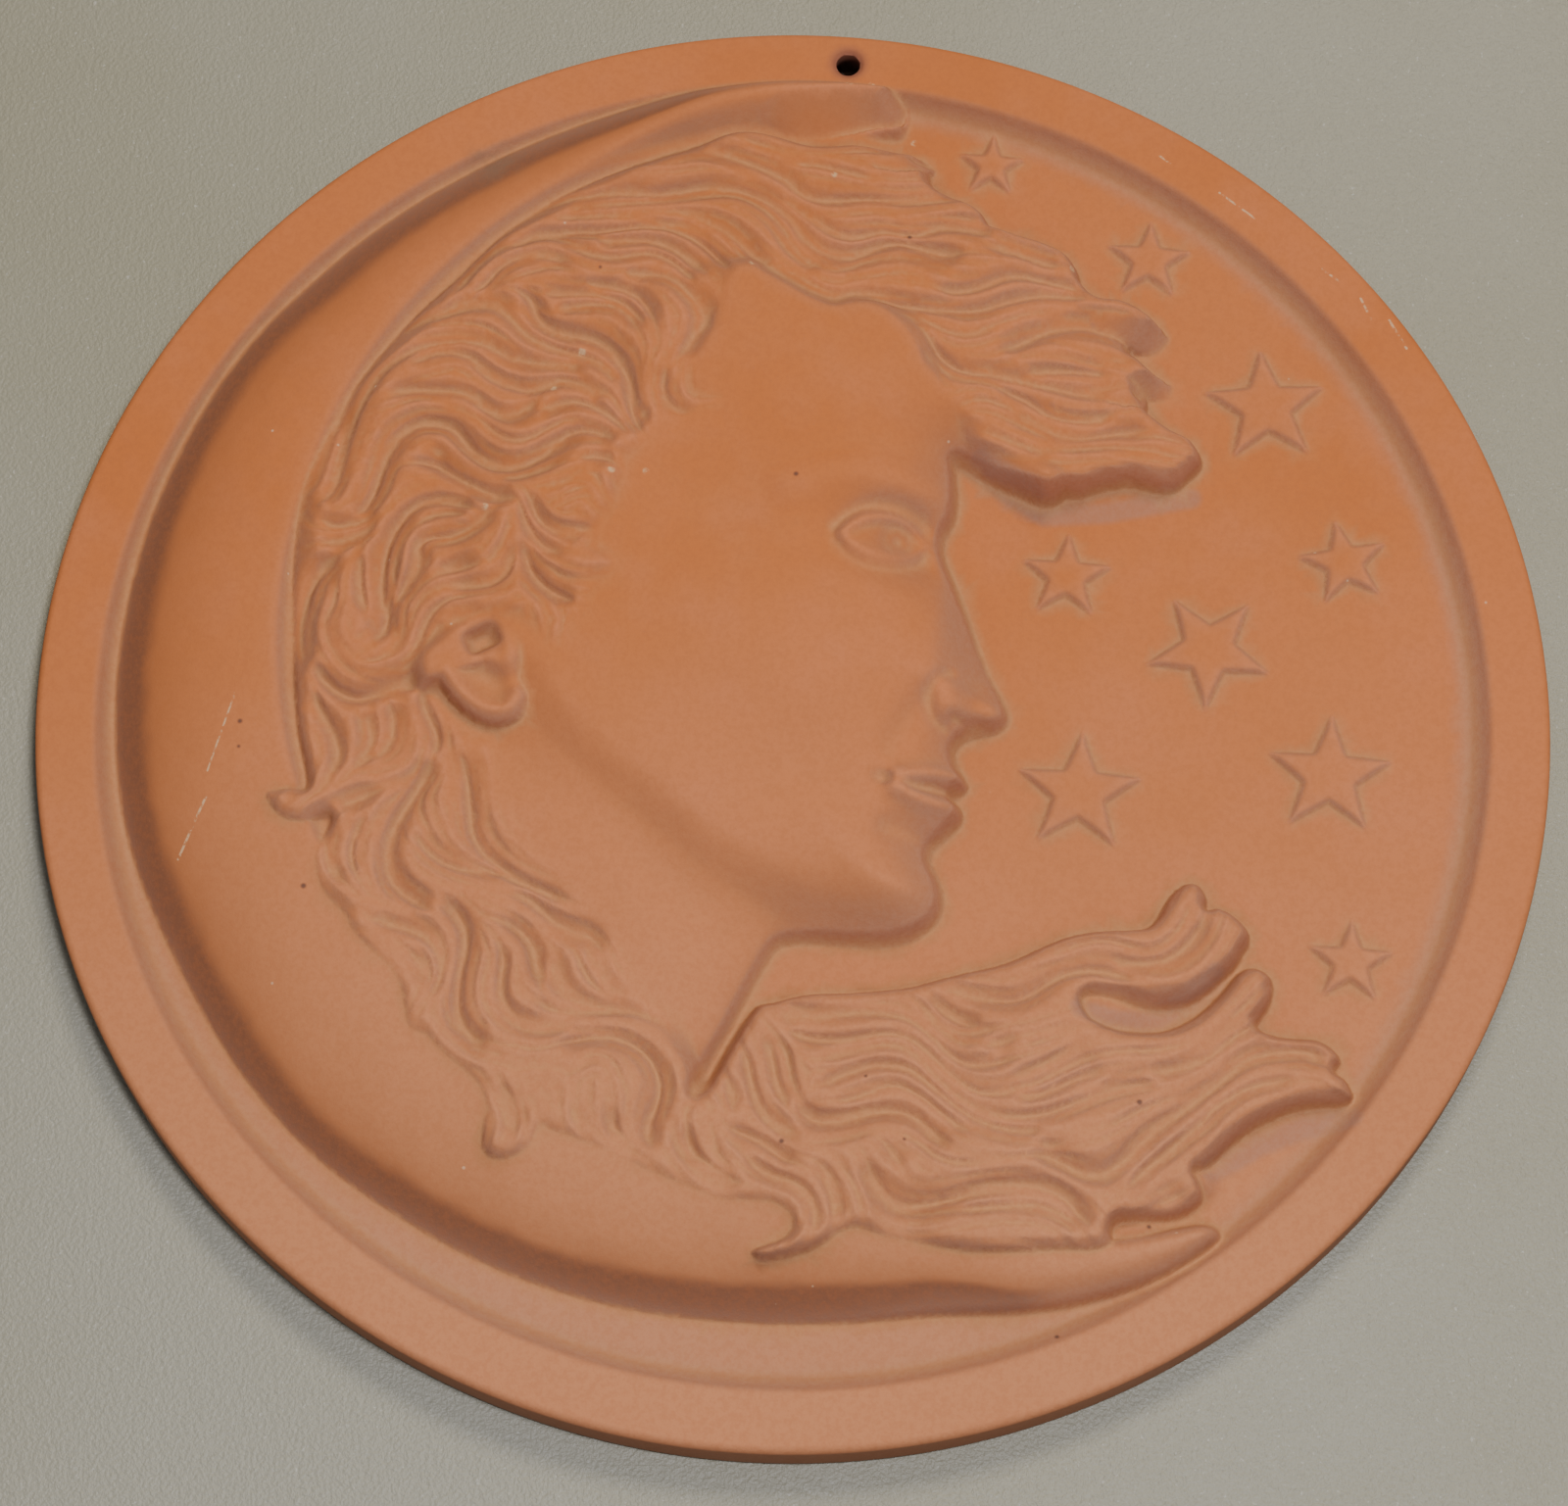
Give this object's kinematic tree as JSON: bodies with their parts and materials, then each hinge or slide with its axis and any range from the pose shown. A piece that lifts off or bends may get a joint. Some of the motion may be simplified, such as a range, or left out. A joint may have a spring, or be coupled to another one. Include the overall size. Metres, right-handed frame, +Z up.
{
  "type": "decorative wall plaque",
  "caption": "Round unglazed terracotta wall plaque with a raised rim, a head in profile inside a crescent moon, raised stars and a nail hole at the top.",
  "frame": {"origin": "centre of the flat round back face, which lies on the wall", "axes": "+Z up on the wall, +X to the right for someone facing the plaque, -Y out of the wall from the carved front; +Y is the back face's outward normal"},
  "size_m": [0.4, 0.0296, 0.4],
  "materials": {
    "terracotta": "matt unglazed terracotta"
  },
  "bodies": {
    "root": {"plaque": "terracotta"}
  },
  "joints": []
}
